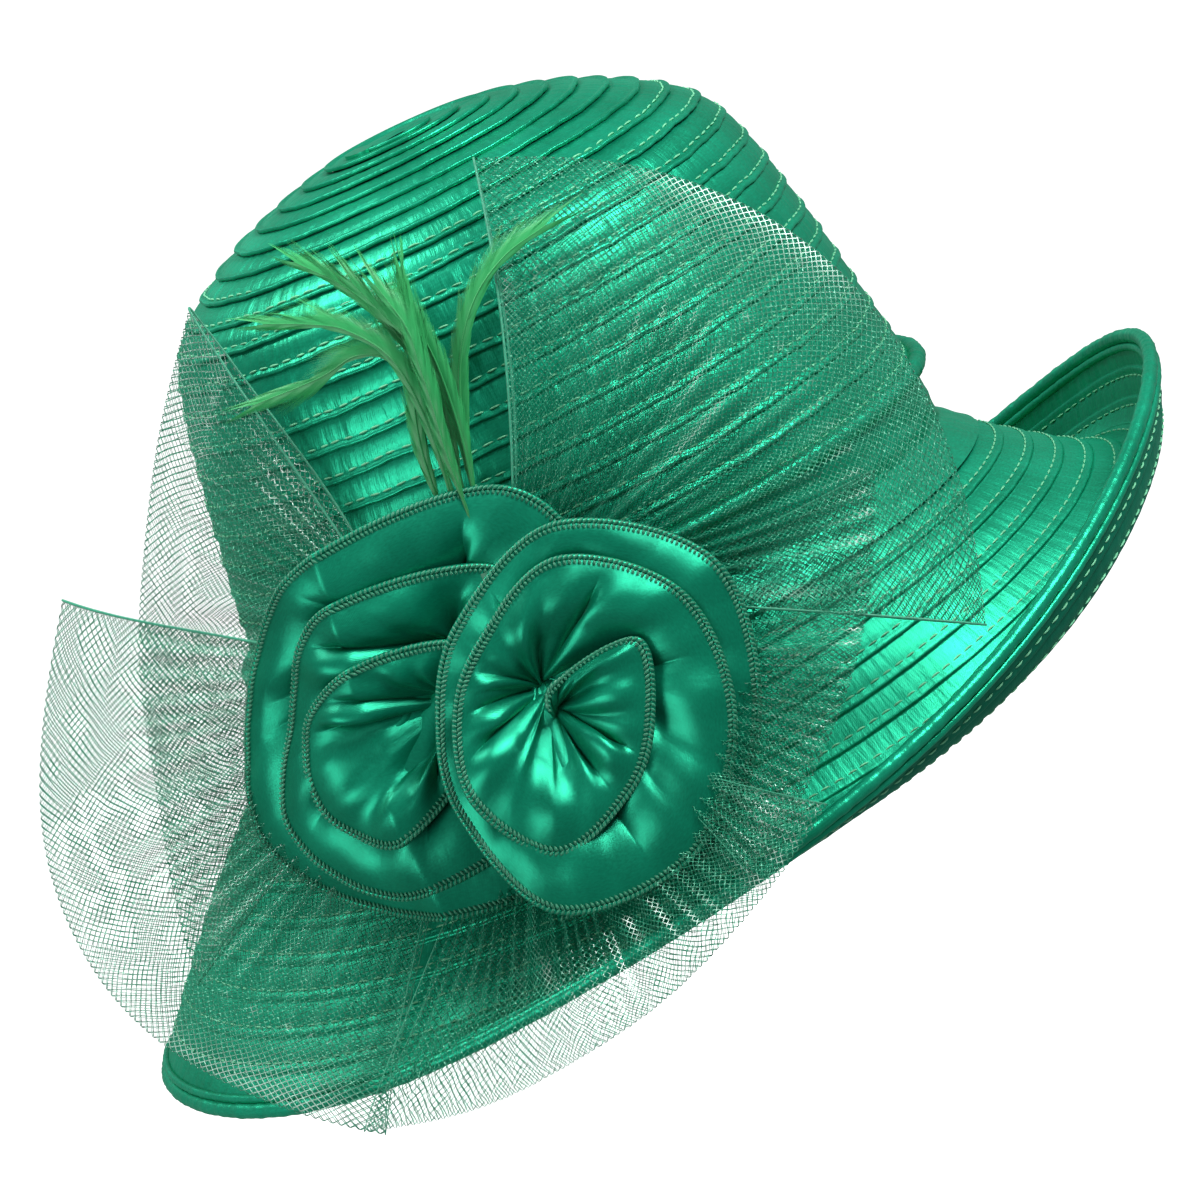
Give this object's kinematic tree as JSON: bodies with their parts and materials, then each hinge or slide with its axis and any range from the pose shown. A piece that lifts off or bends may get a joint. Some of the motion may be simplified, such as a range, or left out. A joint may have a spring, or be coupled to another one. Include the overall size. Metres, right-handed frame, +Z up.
{
  "type": "braid hat",
  "caption": "Lady's bell-shaped braid hat with a wide turned brim, two ribbon roses, feathers and looped net tape on one side.",
  "frame": {"origin": "centre of the head opening, level with the foot of the crown", "axes": "+Z up through the crown's tip, -Y towards the wearer's front, +Y towards the back of the head, +X towards the wearer's left, where the trimming is"},
  "size_m": [0.2905, 0.3146, 0.2053],
  "materials": {
    "satin_braid": "satin ribbon braid, emerald green",
    "satin_ribbon": "satin ribbon, emerald green",
    "lining_ribbon": "grosgrain, dull emerald green",
    "covered_wire": "thread-covered spring wire",
    "piping_cord": "twisted cotton cord, matt",
    "buckram": "stiffened open weave, matt, green",
    "rose_satin": "satin ribbon with an overlocked edge, emerald green",
    "crin_net": "woven nylon horsehair braid, clear green",
    "floral_tape": "thread wrapped, matt, green",
    "hackle": "dyed hackle feather, bright green, matt"
  },
  "bodies": {
    "hat": {"crown_braid": "satin_braid", "tip_tuck": "satin_braid", "sweatband": "lining_ribbon", "brim_braid": "satin_braid", "brim_wire": "covered_wire", "rim_binding": "satin_ribbon", "hat_band": "satin_ribbon", "band_rouleau": "satin_ribbon", "rouleau_cord": "piping_cord", "trim_pad": "buckram", "rose_rear_backing": "buckram", "rose_front_backing": "buckram", "rose_rear_ribbon": "rose_satin", "rose_front_ribbon": "rose_satin", "net_upper_rear": "crin_net", "net_lower_rear": "crin_net", "net_lower": "crin_net", "net_lower_front": "crin_net", "net_upper_front": "crin_net"},
    "feather_spray": {"feather_wrap": "floral_tape", "feather_1": "hackle", "feather_2": "hackle", "feather_3": "hackle", "feather_4": "hackle", "feather_5": "hackle", "feather_6": "hackle", "feather_7": "hackle"}
  },
  "joints": [
    {"name": "feather_sway", "type": "hinge", "parent": "hat", "child": "feather_spray", "pos_m": [0.1046, -0.02756, 0.02344], "axis": [0.9156, -0.3442, 0.2079], "range_deg": [-4, 4], "stiffness_Nm_per_rad": 0.02}
  ]
}
